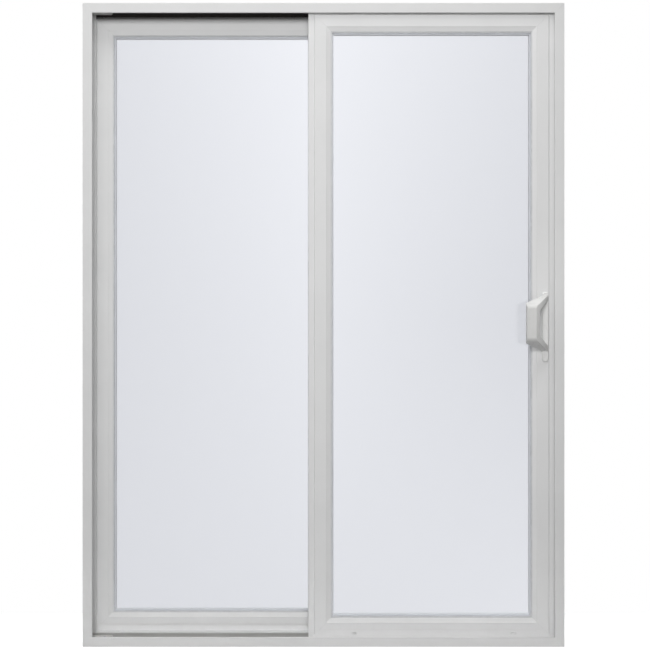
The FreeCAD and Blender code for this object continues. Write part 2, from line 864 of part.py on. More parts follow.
rollers = []
for side, middle in carriage_places.items():
    roller_carriage(f"{side}_roller_carriage", middle)
    for number, place in enumerate(roller_places(middle)):
        rollers.append(roller(f"{side}_roller_{number}", place))
keep(set_of("rollers", rollers), "rollers")

# Adjuster plugs in the bottom rail's skirt, in front of the carriages.
skirt_height = panel_bottom + dim("skirt_bottom") + dim("skirt_height") / 2
skirt_middle = sliding_face + dim("skirt_lean") / 2
plug_radius = dim("plug_height") / 2
half_plug = dim("plug_length") / 2 - plug_radius


def plug_outline(sketch, middle, radius):
    """A lying oblong round an adjuster's middle."""
    start = (middle - half_plug, skirt_height)
    finish = (middle + half_plug, skirt_height)
    add_oblong(sketch, start, finish, radius, 0)


bottom_rail = sash["sliding_bottom_rail"]
plug_holes = new_sketch(bottom_rail, "Plugs", "XZ_Plane", -sliding_face)
for middle in carriage_places.values():
    plug_outline(plug_holes, middle, plug_radius)
plug_floor = sliding_face + dim("plug_depth")
cut_blind(bottom_rail, plug_holes, dim("plug_depth"), False)


def adjuster_plug(name, middle):
    """An oblong plug that sits on the bottom of its hole."""
    body = new_body(name)
    sketch = new_sketch(body, "Section", "XZ_Plane", -plug_floor)
    plug_outline(sketch, middle, plug_radius - dim("plug_clearance"))
    pad(body, sketch, plug_floor - skirt_middle + dim("plug_proud"))
    return body


plugs = [adjuster_plug(f"{side}_plug", middle) for side, middle in carriage_places.items()]
keep(set_of("plugs", plugs), "adjuster_plugs")

# The handle: a plate with an offset pull inside and a plain pull outside.
main_face_edge = sliding_outline.right - dim("flange_width") - dim("flange_slope")
handle_x = main_face_edge - dim("plate_margin") - dim("plate_width") / 2
plate_face = sliding_face - dim("plate_thickness")


def handle_plate(label):
    """The plate under the inside pull, bevelled round its front."""
    body = new_body(label)
    sketch = new_sketch(body, "Outline", "XZ_Plane", -sliding_face)
    radius = dim("plate_width") / 2
    half = dim("plate_length") / 2 - radius
    middle = dim("handle_height") - dim("plate_drop")
    add_oblong(sketch, (handle_x, middle - half), (handle_x, middle + half), radius, 90)
    pad(body, sketch, dim("plate_thickness"))

    def on_front(edge):
        reach = edge.BoundBox
        return abs(reach.YMax - plate_face.value) < CLOSE and abs(reach.YMin - plate_face.value) < CLOSE

    bevel_edges(body, dim("plate_bevel"), on_front)
    return keep(body, label)


def pull(label, kind, seat, outward, offset):
    """A pull shaped from two views: the solid that its plan and its side view share.

    kind is the first word of its sizes, seat the plane of its feet, outward 1 or -1 for the way
    it stands out along Y, and offset how far its grip stands to the left of its feet.
    """
    margin = dim("cut_margin")
    width = dim(f"{kind}_width")
    middle = dim("handle_height")
    half_foot = dim("foot_width") / 2
    half_span = dim("foot_span") / 2
    half_grip = dim(f"{kind}_length") / 2
    front = seat + dim(f"{kind}_reach") * outward
    back = front - dim(f"{kind}_depth") * outward
    left = handle_x - offset - width / 2
    right = left + width

    plan = new_body(f"{label}_plan")
    plan_sketch = new_sketch(plan, "Plan", "XY_Plane", middle - half_span - margin)
    plan_corners = [
        (handle_x - half_foot, seat),
        (handle_x + half_foot, seat),
        (right, front),
        (left, front),
        (left, back),
    ]
    add_outline(plan_sketch, plan_corners)
    pad(plan, plan_sketch, dim("foot_span") + margin * 2)

    def on_grip(edge):
        return runs_along(edge, UP) and abs(edge.CenterOfMass.y - seat.value) > CLOSE

    round_edges(plan, dim("pull_round"), on_grip)

    side = new_body(f"{label}_side")
    start = left - half_foot - margin
    side_sketch = new_sketch(side, "Side", "YZ_Plane", start)
    inner_foot = half_span - dim("foot_height")
    inner_grip = half_grip - dim(f"{kind}_arm")
    side_corners = [
        (seat, middle + half_span),
        (front, middle + half_grip),
        (front, middle - half_grip),
        (seat, middle - half_span),
        (seat, middle - inner_foot),
        (back, middle - inner_grip),
        (back, middle + inner_grip),
        (seat, middle + inner_foot),
    ]
    add_outline(side_sketch, side_corners)
    pad(side, side_sketch, handle_x + half_foot + width + margin - start)
    for depth, radius in ((front, dim("pull_bend")), (back, dim("pull_crook"))):

        def on_bend(edge, bend_y=depth.value):
            return runs_along(edge, RIGHT) and abs(edge.CenterOfMass.y - bend_y) < CLOSE

        round_edges(side, radius, on_bend)

    shared = doc.addObject("Part::Common", f"Shared_{label}")
    shared.Base = plan
    shared.Tool = side
    return keep(shared, label)


handle_plate("handle_plate")
pull("inside_pull", "pull", plate_face, -1, dim("pull_offset"))
pull("outside_pull", "outer_pull", sliding_back, 1, ZERO)

# The lock in the stile's edge groove and the keeper on the jamb.
half_lock = dim("lock_length") / 2
half_slot = dim("hook_slot_length") / 2
half_hook = dim("hook_slot_width") / 2


def slotted_block(name, low, high, slot_low, slot_high):
    """A block with a slot cut out of it."""
    return cut_from(name, box(f"{name}_block", low, high), box(f"{name}_slot", slot_low, slot_high))


half_groove_width = dim("edge_groove") / 2
lock_back = sliding_outline.right - dim("groove_depth")
lock = slotted_block(
    "lock",
    (lock_back, lane_middle - half_groove_width, dim("handle_height") - half_lock),
    (sliding_outline.right, lane_middle + half_groove_width, dim("handle_height") + half_lock),
    (
        sliding_outline.right - dim("hook_slot_depth"),
        lane_middle - half_hook,
        dim("handle_height") - half_slot,
    ),
    (
        sliding_outline.right + dim("cut_margin"),
        lane_middle + half_hook,
        dim("handle_height") + half_slot,
    ),
)
keep(lock, "lock_case")

half_keeper = dim("keeper_length") / 2
keeper_face = frame_walls.right - dim("keeper_thickness")
keeper = slotted_block(
    "keeper",
    (keeper_face, lane_middle - half_groove_width, dim("handle_height") - half_keeper),
    (frame_walls.right, lane_middle + half_groove_width, dim("handle_height") + half_keeper),
    (keeper_face - dim("cut_margin"), lane_middle - half_hook, dim("handle_height") - half_slot),
    (frame_walls.right + dim("cut_margin"), lane_middle + half_hook, dim("handle_height") + half_slot),
)
keep(keeper, "lock_keeper")

# Every object has to be sound before anything is written.
doc.recompute()
for thing in doc.Objects:
    if any(state in ("Invalid", "Error") for state in thing.State):
        raise RuntimeError(f"{thing.Label} did not build: {thing.State}")
for piece in pieces:
    if piece.Shape.isNull() or not piece.Shape.isValid():
        raise RuntimeError(f"{piece.Label} has no sound shape")

os.makedirs("parts", exist_ok=True)
for piece in pieces:
    piece.Shape.exportStep(f"parts/{piece.Label}.step")
    print(piece.Label, len(piece.Shape.Solids), round(piece.Shape.Volume))
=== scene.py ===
"""A white vinyl sliding patio door, dressed in its finishes and set in a plain studio."""

import json
import logging
import math
from dataclasses import dataclass, field
from enum import Enum
from typing import Callable, Dict, Optional, Sequence, Tuple

import bmesh
import bpy
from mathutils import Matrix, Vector

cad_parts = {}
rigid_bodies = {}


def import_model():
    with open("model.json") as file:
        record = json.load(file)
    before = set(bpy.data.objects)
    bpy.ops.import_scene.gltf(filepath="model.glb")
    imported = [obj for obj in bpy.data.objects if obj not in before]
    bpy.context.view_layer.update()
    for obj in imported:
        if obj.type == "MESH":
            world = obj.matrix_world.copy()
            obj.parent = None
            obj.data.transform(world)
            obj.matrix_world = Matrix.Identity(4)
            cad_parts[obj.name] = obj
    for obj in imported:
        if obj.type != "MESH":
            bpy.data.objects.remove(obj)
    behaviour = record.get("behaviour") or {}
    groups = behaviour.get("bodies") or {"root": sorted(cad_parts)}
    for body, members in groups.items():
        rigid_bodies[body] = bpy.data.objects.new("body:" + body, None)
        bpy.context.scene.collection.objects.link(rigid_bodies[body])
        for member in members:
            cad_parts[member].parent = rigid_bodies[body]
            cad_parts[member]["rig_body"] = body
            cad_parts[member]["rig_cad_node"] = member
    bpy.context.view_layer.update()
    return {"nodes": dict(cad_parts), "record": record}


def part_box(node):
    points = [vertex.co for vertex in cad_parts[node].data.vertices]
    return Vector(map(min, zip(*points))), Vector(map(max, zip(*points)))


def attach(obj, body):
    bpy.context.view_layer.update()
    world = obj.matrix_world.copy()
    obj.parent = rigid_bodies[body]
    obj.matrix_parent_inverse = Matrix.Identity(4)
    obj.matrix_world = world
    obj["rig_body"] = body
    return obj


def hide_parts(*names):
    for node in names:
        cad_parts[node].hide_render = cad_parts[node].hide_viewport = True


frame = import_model()
LOG = logging.getLogger("patio_door")

Colour = Tuple[float, float, float]
Triple = Tuple[float, float, float]
Span = Tuple[float, float]
Way = Tuple[int, int]
Box = Tuple[Vector, Vector]
TintReflectionStops = Tuple[Colour, Colour, Colour]
Socket = bpy.types.NodeSocket

MM = 0.001
FRAME_BODY = "frame"
PANEL_BODY = "sliding_panel"

NO_TURN: Triple = (0.0, 0.0, 0.0)
TO_LEFT: Triple = (0.0, -math.pi / 2, 0.0)
TO_RIGHT: Triple = (0.0, math.pi / 2, 0.0)
UPWARDS: Triple = NO_TURN
DOWNWARDS: Triple = (math.pi, 0.0, 0.0)
WHITE: Colour = (1.0, 1.0, 1.0)
BLACK: Colour = (0.0, 0.0, 0.0)
UNIT: Span = (0.0, 1.0)
NOISE: Span = (0.3, 0.7)
HALFWAY = 0.5
# The places of the share, the two colours and the result on a colour mix.
MIX_SHARE, MIX_FIRST, MIX_SECOND, MIX_RESULT = 0, 6, 7, 2
# How squarely a face has to look along an axis to be picked.
SQUARELY = 0.9


class Grain(Enum):
    """The way in which an extruded member runs."""

    UPRIGHT = "upright"
    LEVEL = "level"


class Fade(Enum):
    """The way in which a finish changes."""

    UP = "Z"
    ACROSS = "X"
    BACK = "Y"


class Facing(Enum):
    """The side of the door that a piece shows on."""

    ROOM = "room"
    WEATHER = "weather"


class NodeSheet:
    """The nodes of one material, with short ways to add the usual ones."""

    def __init__(self, name: str) -> None:
        """Start a material with one shader.

        Args:
            name: The material's name.
        """
        self.material = bpy.data.materials.new(name)
        self.material.use_nodes = True
        self.tree = self.material.node_tree
        self.shader = self.tree.nodes["Principled BSDF"]
        self.output = self.tree.nodes["Material Output"]
        self.place = self.add("ShaderNodeTexCoord").outputs["Object"]

    def add(self, kind: str, **settings: object) -> bpy.types.Node:
        """Add a node.

        Args:
            kind: The node's type.
            settings: Values for the node's own properties.

        Returns:
            The new node.
        """
        node = self.tree.nodes.new(kind)
        for key, value in settings.items():
            setattr(node, key, value)
        return node

    def link(self, source: Socket, target: Socket) -> None:
        """Join two sockets."""
        self.tree.links.new(source, target)

    def stretched(self, scale: Triple) -> Socket:
        """Scale the object's coordinates.

        Args:
            scale: The scale along X, Y and Z.

        Returns:
            The scaled coordinates.
        """
        mapping = self.add("ShaderNodeMapping")
        mapping.inputs["Scale"].default_value = scale
        self.link(self.place, mapping.inputs["Vector"])
        return mapping.outputs["Vector"]

    def noise(self, where: Socket, scale: float, detail: float) -> Socket:
        """Add a noise pattern.

        Args:
            where: The coordinates that it reads.
            scale: Its fineness.
            detail: Its octaves.

        Returns:
            The pattern, mostly within the span called NOISE.
        """
        node = self.add("ShaderNodeTexNoise")
        node.inputs["Scale"].default_value = scale
        node.inputs["Detail"].default_value = detail
        self.link(where, node.inputs["Vector"])
        return node.outputs["Fac"]

    def spread(self, value: Socket, source: Span, target: Span, clamp: bool = True) -> Socket:
        """Map a value from one range to another.

        Args:
            value: The value.
            source: Its own range.
            target: The range that it gets.
            clamp: Whether it stays in that range.

        Returns:
            The mapped value.
        """
        node = self.add("ShaderNodeMapRange", clamp=clamp)
        ends = ("From Min", "From Max", "To Min", "To Max")
        for end, number in zip(ends, (*source, *target)):
            node.inputs[end].default_value = number
        self.link(value, node.inputs["Value"])
        return node.outputs["Result"]

    def ramp(self, value: Socket, stops: Sequence[Tuple[float, Colour]]) -> Socket:
        """Turn a value into a colour.

        Args:
            value: The value.
            stops: Places from 0 to 1 with their colours.

        Returns:
            The colour.
        """
        node = self.add("ShaderNodeValToRGB")
        elements = node.color_ramp.elements
        for _ in range(len(stops) - len(elements)):
            elements.new(HALFWAY)
        for element, (place, colour) in zip(elements, stops):
            element.position = place
            element.color = (*colour, 1.0)
        self.link(value, node.inputs["Fac"])
        return node.outputs["Color"]

    def blend(self, value: Socket, stops: Span, dark: Colour, light: Colour) -> Socket:
        """Turn a value into a tone between two colours."""
        return self.ramp(value, list(zip(stops, (dark, light))))

    def along(self, fade: Fade, start: float, end: float, clamp: bool = True) -> Socket:
        """Give the place along one of the object's axes.

        Args:
            fade: The axis.
            start: Where it is 0.
            end: Where it is 1.
            clamp: Whether it stays between 0 and 1.

        Returns:
            The place.
        """
        parts = self.add("ShaderNodeSeparateXYZ")
        self.link(self.place, parts.inputs["Vector"])
        return self.spread(parts.outputs[fade.value], (start, end), UNIT, clamp)

    def mix(self, factor: Socket, first: Socket, second: Socket) -> Socket:
        """Mix two colours.

        Args:
            factor: The share of the second one.
            first: The first colour.
            second: The second colour.

        Returns:
            The mixed colour.
        """
        node = self.add("ShaderNodeMix", data_type="RGBA")
        self.link(factor, node.inputs[MIX_SHARE])
        self.link(first, node.inputs[MIX_FIRST])
        self.link(second, node.inputs[MIX_SECOND])
        return node.outputs[MIX_RESULT]

    def reckon(self, operation: str, *values: Socket) -> Socket:
        """Work out a value from others.

        Args:
            operation: What is done with them.
            values: The values.

        Returns:
            The result.
        """
        node = self.add("ShaderNodeMath", operation=operation)
        for value, socket in zip(values, node.inputs):
            self.link(value, socket)
        return node.outputs["Value"]

    def emboss(self, height: Socket, strength: float, depth: float) -> None:
        """Raise the surface by a pattern, over what raises it already.

        Args:
            height: The pattern.
            strength: How much of it shows.
            depth: Its depth in metres.
        """
        bump = self.add("ShaderNodeBump")
        bump.inputs["Strength"].default_value = strength
        bump.inputs["Distance"].default_value = depth
        self.link(height, bump.inputs["Height"])
        normal = self.shader.inputs["Normal"]
        if normal.is_linked:
            self.link(normal.links[0].from_socket, bump.inputs["Normal"])
        self.link(bump.outputs["Normal"], normal)

    def paint(self, colour: Socket) -> None:
        """Give the shader its colour."""
        self.link(colour, self.shader.inputs["Base Color"])

    def polish(self, roughness: Socket) -> None:
        """Give the shader its roughness."""
        self.link(roughness, self.shader.inputs["Roughness"])

    def set(self, **values: float) -> None:
        """Set the shader's own values.

        Args:
            values: Socket names, with underscores for spaces, and their values.
        """
        for key, value in values.items():
            self.shader.inputs[key.replace("_", " ")].default_value = value


@dataclass(frozen=True)
class VinylFinish:
    """White extruded vinyl with faint die lines, grime near the floor and painted shade in a frame's lanes.

    Here and in the other finishes a pattern is a scale with its octaves, stops are the places where
    a pattern turns dark and light, and a relief is a strength with its depth in metres.
    """

    name: str
    grain: Grain
    light: Colour = (0.795, 0.796, 0.796)
    dark: Colour = (0.765, 0.766, 0.766)
    grime: Colour = (0.705, 0.703, 0.698)
    grime_height: float = 0.16
    grime_share: float = 0.25
    grime_pattern: Span = (55.0, 6.0)
    grime_stops: Span = (0.35, 0.62)
    mottle: Span = (7.0, 5.0)
    mottle_stops: Span = (0.32, 0.68)
    die_lines: float = 620.0
    line_stretch: float = 4.0
    line_octaves: float = 2.0
    line_relief: Span = (0.05, 0.2 * MM)
    skin: Span = (900.0, 2.0)
    skin_relief: Span = (0.03, 0.2 * MM)
    roughness: Span = (0.34, 0.46)
    # Painted shade for the frame's lanes: two darker tones, and where between the legs and how high they
    # lie.
    lane_shade_light: Colour = (0.50, 0.495, 0.48)
    lane_shade_dark: Colour = (0.42, 0.415, 0.40)
    lane_shade_share: float = 0.0
    lane_edges: Span = (50.0 * MM, 49.0 * MM)
    lane_rise: Span = (28.0 * MM, 23.0 * MM)

    def die_marks(self, sheet: NodeSheet) -> Socket:
        """Draw the lines that the die leaves along a member.

        Args:
            sheet: The material's nodes.

        Returns:
            The lines.
        """
        fine, slow = self.die_lines, self.line_stretch
        scale = (fine, fine, slow) if self.grain is Grain.UPRIGHT else (slow, fine, fine)
        return sheet.noise(sheet.stretched(scale), 1.0, self.line_octaves)

    def shade_in_lanes(self, sheet: NodeSheet) -> Socket:
        """Tell where painted shade lies: low down, between the frame's two legs.

        Args:
            sheet: The material's nodes.

        Returns:
            The share of painted shade.
        """
        depth = sheet.reckon("ABSOLUTE", sheet.along(Fade.BACK, *UNIT, False))
        between = sheet.spread(depth, self.lane_edges, (0.0, self.lane_shade_share))
        return sheet.reckon("MULTIPLY", between, sheet.along(Fade.UP, *self.lane_rise))

    def build(self) -> bpy.types.Material:
        """Make the material.

        Returns:
            The material.
        """
        sheet = NodeSheet(self.name)
        lines = self.die_marks(sheet)
        mottle = sheet.noise(sheet.place, *self.mottle)
        clean = sheet.blend(mottle, self.mottle_stops, self.dark, self.light)
        specks = sheet.noise(sheet.place, *self.grime_pattern)
        dusty = sheet.blend(specks, self.grime_stops, self.grime, self.dark)
        height = sheet.along(Fade.UP, self.grime_height, 0.0)
        outside = sheet.mix(sheet.spread(height, UNIT, (0.0, self.grime_share)), clean, dusty)
        # Painted shade: the lanes are darkened low down between the frame's two legs, standing in for their
        # shadow.
        lane_shade_tone = sheet.blend(mottle, self.mottle_stops, self.lane_shade_dark, self.lane_shade_light)
        sheet.paint(sheet.mix(self.shade_in_lanes(sheet), outside, lane_shade_tone))
        sheet.polish(sheet.spread(lines, NOISE, self.roughness))
        sheet.emboss(lines, *self.line_relief)
        sheet.emboss(sheet.noise(sheet.place, *self.skin), *self.skin_relief)
        sheet.set(IOR=1.52, Coat_Weight=0.06, Coat_Roughness=0.25)
        return sheet.material


@dataclass(frozen=True)
class MouldedFinish:
    """Moulded plastic with a fine spark grain."""

    name: str
    light: Colour
    dark: Colour
    roughness: Span = (0.42, 0.58)
    mottle: Span = (60.0, 4.0)
    mottle_stops: Span = (0.34, 0.66)
    grain: Span = (1800.0, 2.0)
    grain_relief: Span = (0.18, 0.2 * MM)

    def build(self) -> bpy.types.Material:
        """Make the material.

        Returns:
            The material.
        """
        sheet = NodeSheet(self.name)
        mottle = sheet.noise(sheet.place, *self.mottle)
        sheet.paint(sheet.blend(mottle, self.mottle_stops, self.dark, self.light))
        grain = sheet.noise(sheet.place, *self.grain)
        sheet.polish(sheet.spread(grain, NOISE, self.roughness))
        sheet.emboss(grain, *self.grain_relief)
        return sheet.material


@dataclass(frozen=True)
class PowderCoat:
    """White powder-coated casting with a soft orange-peel skin."""

    name: str
    light: Colour = (0.675, 0.675, 0.665)
    dark: Colour = (0.640, 0.640, 0.630)
    mottle: Span = (34.0, 5.0)
    mottle_stops: Span = (0.33, 0.67)
    sheen: Span = (90.0, 3.0)
    roughness: Span = (0.26, 0.40)
    peel: Span = (480.0, 2.0)
    peel_relief: Span = (0.16, 0.3 * MM)

    def build(self) -> bpy.types.Material:
        """Make the material.

        Returns:
            The material.
        """
        sheet = NodeSheet(self.name)
        mottle = sheet.noise(sheet.place, *self.mottle)
        sheet.paint(sheet.blend(mottle, self.mottle_stops, self.dark, self.light))
        sheet.polish(sheet.spread(sheet.noise(sheet.place, *self.sheen), NOISE, self.roughness))
        sheet.emboss(sheet.noise(sheet.place, *self.peel), *self.peel_relief)
        sheet.set(IOR=1.5, Coat_Weight=0.15, Coat_Roughness=0.12)
        return sheet.material


@dataclass(frozen=True)
class RubberFinish:
    """Matt rubber with a dusty bloom."""

    name: str
    light: Colour
    dark: Colour
    bloom: Span = (80.0, 5.0)
    bloom_stops: Span = (0.35, 0.70)
    sheen: Span = (260.0, 3.0)
    roughness: Span = (0.62, 0.85)
    grain: Span = (1500.0, 2.0)
    grain_relief: Span = (0.2, 0.2 * MM)

    def build(self) -> bpy.types.Material:
        """Make the material.

        Returns:
            The material.
        """
        sheet = NodeSheet(self.name)
        bloom = sheet.noise(sheet.place, *self.bloom)
        sheet.paint(sheet.blend(bloom, self.bloom_stops, self.dark, self.light))
        sheet.polish(sheet.spread(sheet.noise(sheet.place, *self.sheen), NOISE, self.roughness))
        sheet.emboss(sheet.noise(sheet.place, *self.grain), *self.grain_relief)
        return sheet.material


@dataclass(frozen=True)
class MetalFinish:
    """Drawn or plated metal whose scratches run along the piece."""

    name: str
    light: Colour
    dark: Colour
    scratch_scale: Triple = (6.0, 1100.0, 1100.0)
    roughness: Span = (0.26, 0.46)
    metallic: float = 1.0
    scratch_octaves: float = 4.0
    scratch_relief: Span = (0.12, 0.2 * MM)
    cloud: Span = (24.0, 5.0)
    cloud_stops: Span = (0.32, 0.68)

    def build(self) -> bpy.types.Material:
        """Make the material.

        Returns:
            The material.
        """
        sheet = NodeSheet(self.name)
        scratches = sheet.noise(sheet.stretched(self.scratch_scale), 1.0, self.scratch_octaves)
        cloud = sheet.noise(sheet.place, *self.cloud)
        sheet.paint(sheet.blend(cloud, self.cloud_stops, self.dark, self.light))
        sheet.polish(sheet.spread(scratches, NOISE, self.roughness))
        sheet.emboss(scratches, *self.scratch_relief)
        sheet.set(Metallic=self.metallic)
        return sheet.material


@dataclass(frozen=True)
class SpangledSteel:
    """Zinc-plated pressed steel with its crystal spangle."""

    name: str
    light: Colour = (0.60, 0.61, 0.63)
    dark: Colour = (0.42, 0.43, 0.45)
    crystals: float = 210.0
    roughness: Span = (0.28, 0.48)
    ripple: Span = (420.0, 3.0)
    ripple_relief: Span = (0.1, 0.2 * MM)

    def build(self) -> bpy.types.Material:
        """Make the material.

        Returns:
            The material.
        """
        sheet = NodeSheet(self.name)
        cells = sheet.add("ShaderNodeTexVoronoi")
        cells.inputs["Scale"].default_value = self.crystals
        sheet.link(sheet.place, cells.inputs["Vector"])
        parts = sheet.add("ShaderNodeSeparateColor")
        sheet.link(cells.outputs["Color"], parts.inputs["Color"])
        tone = parts.outputs["Red"]
        sheet.paint(sheet.blend(tone, UNIT, self.dark, self.light))
        sheet.polish(sheet.spread(tone, UNIT, self.roughness))
        sheet.emboss(sheet.noise(sheet.place, *self.ripple), *self.ripple_relief)
        sheet.set(Metallic=1.0)
        return sheet.material


@dataclass(frozen=True)
class PileFinish:
    """Black woven pile with dusty tips."""

    name: str
    light: Colour = (0.040, 0.034, 0.030)
    dark: Colour = (0.008, 0.006, 0.005)
    tuft_scale: Triple = (1400.0, 1400.0, 260.0)
    tuft_octaves: float = 4.0
    tuft_stops: Span = (0.38, 0.68)
    tuft_relief: Span = (0.5, 0.6 * MM)
    roughness: Span = (0.80, 0.98)

    def build(self) -> bpy.types.Material:
        """Make the material.

        Returns:
            The material.
        """
        sheet = NodeSheet(self.name)
        tufts = sheet.noise(sheet.stretched(self.tuft_scale), 1.0, self.tuft_octaves)
        sheet.paint(sheet.blend(tufts, self.tuft_stops, self.dark, self.light))
        sheet.polish(sheet.spread(tufts, NOISE, self.roughness))
        sheet.emboss(tufts, *self.tuft_relief)
        sheet.set(Sheen_Weight=0.12, Sheen_Roughness=0.5)
        return sheet.material


@dataclass(frozen=True)
class ClearGlass:
    """Clear float glass with a faint blue tint, painted lighter and darker up and across the pane as
    painted reflections.
    """

    name: str
    left_tint_reflections: TintReflectionStops
    right_tint_reflections: TintReflectionStops
    across: Span
    rise: Span = (0.08, 1.95)
    tint_reflection_places: Triple = (0.0, HALFWAY, 1.0)
    shade: Colour = (0.95, 0.96, 0.97)

    def build(self) -> bpy.types.Material:
        """Make the material: glass that lets the lamps through.

        Returns:
            The material.
        """
        sheet = NodeSheet(self.name)
        # Painted reflections: the glass's colour is graded up and across the pane, over its own faint blue
        # tint.
        height = sheet.along(Fade.UP, *self.rise)
        left = sheet.ramp(height, list(zip(self.tint_reflection_places, self.left_tint_reflections)))
        right = sheet.ramp(height, list(zip(self.tint_reflection_places, self.right_tint_reflections)))
        sheet.paint(sheet.mix(sheet.along(Fade.ACROSS, *self.across), left, right))
        sheet.set(Transmission_Weight=1.0, IOR=1.45, Roughness=0.0)
        path = sheet.add("ShaderNodeLightPath").outputs
        either = sheet.reckon("MAXIMUM", path["Is Shadow Ray"], path["Is Diffuse Ray"])
        clear = sheet.add("ShaderNodeBsdfTransparent")
        clear.inputs["Color"].default_value = (*self.shade, 1.0)
        choice = sheet.add("ShaderNodeMixShader")
        sheet.link(either, choice.inputs["Fac"])
        sheet.link(sheet.shader.outputs["BSDF"], choice.inputs[1])
        sheet.link(clear.outputs["BSDF"], choice.inputs[2])
        sheet.link(choice.outputs["Shader"], sheet.output.inputs["Surface"])
        return sheet.material


def deselect() -> None:
    """Leave every object unselected, in object mode."""
    if bpy.context.object is not None and bpy.context.object.mode != "OBJECT":
        bpy.ops.object.mode_set(mode="OBJECT")
    bpy.ops.object.select_all(action="DESELECT")


def hold(piece: bpy.types.Object) -> None:
    """Select one object alone and make it active.

    Args:
        piece: The object.
    """
    deselect()
    piece.select_set(True)
    bpy.context.view_layer.objects.active = piece


def settle(piece: bpy.types.Object) -> None:
    """Move a piece's place, turn and size into its mesh."""
    hold(piece)
    bpy.ops.object.transform_apply(location=True, rotation=True, scale=True)


def block(name: str, size: Triple, middle: Triple, turn: Triple = NO_TURN) -> bpy.types.Object:
    """Start a piece from a box.

    Args:
        name: The piece's name.
        size: Its size along X, Y and Z.
        middle: Its middle.
        turn: Its turn about X, Y and Z.

    Returns:
        The box, with its place in its mesh.
    """
    deselect()
    bpy.ops.mesh.primitive_cube_add(size=1.0, location=middle, rotation=turn)
    piece = bpy.context.object
    piece.name = name
    piece.scale = size
    settle(piece)
    return piece


def disc(name: str, radius: float, depth: float, middle: Triple, sides: int) -> bpy.types.Object:
    """Start a piece from a short upright cylinder.

    Args:
        name: The piece's name.
        radius: Its radius.
        depth: Its height.
        middle: Its middle.
        sides: How many sides it has.

    Returns:
        The cylinder, with its place in its mesh.
    """
    deselect()
    bpy.ops.mesh.primitive_cylinder_add(vertices=sides, radius=radius, depth=depth, location=middle)
    piece = bpy.context.object
    piece.name = name
    settle(piece)
    return piece


def pick_faces(piece: bpy.types.Object, test: Callable[[Vector, Vector], bool]) -> None:
    """Open a piece in edit mode with some of its faces selected.

    Args:
        piece: The piece.
        test: Says from a face's middle and normal whether it is taken.
    """
    hold(piece)
    bpy.ops.object.mode_set(mode="EDIT")
    bpy.ops.mesh.select_mode(type="FACE")
    bpy.ops.mesh.select_all(action="DESELECT")
    cage = bmesh.from_edit_mesh(piece.data)
    for face in cage.faces:
        face.select_set(test(face.calc_center_median(), face.normal))
    cage.select_flush(True)
    bmesh.update_edit_mesh(piece.data)


def close_edit() -> None:
    """Go back to object mode."""
    bpy.ops.object.mode_set(mode="OBJECT")


def apply_bevel(piece: bpy.types.Object, width: float, segments: int, angle: float = 30.0) -> None:
    """Round a piece's sharp edges.

    Args:
        piece: The piece.
        width: The bevel's width.
        segments: Its segments.
        angle: The least angle of an edge that gets it, in degrees.
    """
    hold(piece)
    bevel = piece.modifiers.new("ease", "BEVEL")
    bevel.width = width
    bevel.segments = segments
    bevel.limit_method = "ANGLE"
    bevel.angle_limit = math.radians(angle)
    bpy.ops.object.modifier_apply(modifier=bevel.name)


def smooth(piece: bpy.types.Object, angle: float = 35.0) -> None:
    """Shade a piece smoothly between its sharp edges."""
    hold(piece)
    bpy.ops.object.shade_smooth_by_angle(angle=math.radians(angle))


def cut_out(piece: bpy.types.Object, cutter: bpy.types.Object) -> None:
    """Cut one piece out of another and remove the cutter.

    Args:
        piece: The piece that is cut.
        cutter: The piece that is cut out.
    """
    hold(piece)
    cut = piece.modifiers.new("cut", "BOOLEAN")
    cut.operation = "DIFFERENCE"
    cut.solver = "EXACT"
    cut.object = cutter
    bpy.ops.object.modifier_apply(modifier=cut.name)
    bpy.data.objects.remove(cutter)


def copy_to(piece: bpy.types.Object, name: str, shift: Triple, turn: Triple) -> bpy.types.Object:
    """Copy a piece with a mesh of its own, turn the copy about the origin and shift it.

    Args:
        piece: The piece, modelled at the origin.
        name: The copy's name.
        shift: Where it goes.
        turn: Its turn about X, Y and Z.

    Returns:
        The copy, with its place in its mesh.
    """
    hold(piece)
    bpy.ops.object.duplicate(linked=False)
    twin = bpy.context.object
    twin.name = name
    twin.location = shift
    twin.rotation_euler = turn
    settle(twin)
    return twin


def finish_piece(piece: bpy.types.Object, body: str, material: bpy.types.Material) -> None:
    """Give a piece its finish and the body that carries it.

    Args:
        piece: The piece.
        body: The body that it rides on.
        material: Its material.
    """
    piece.data.materials.clear()
    piece.data.materials.append(material)
    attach(piece, body)
    LOG.info("piece %s on %s", piece.name, body)


def dress(node: str, material: bpy.types.Material) -> None:
    """Give a carried-over node its finish.

    Args:
        node: The node's name.
        material: Its material.
    """
    piece = frame["nodes"][node]
    for slot in piece.material_slots:
        slot.material = material
    LOG.info("node %s in %s", node, material.name)


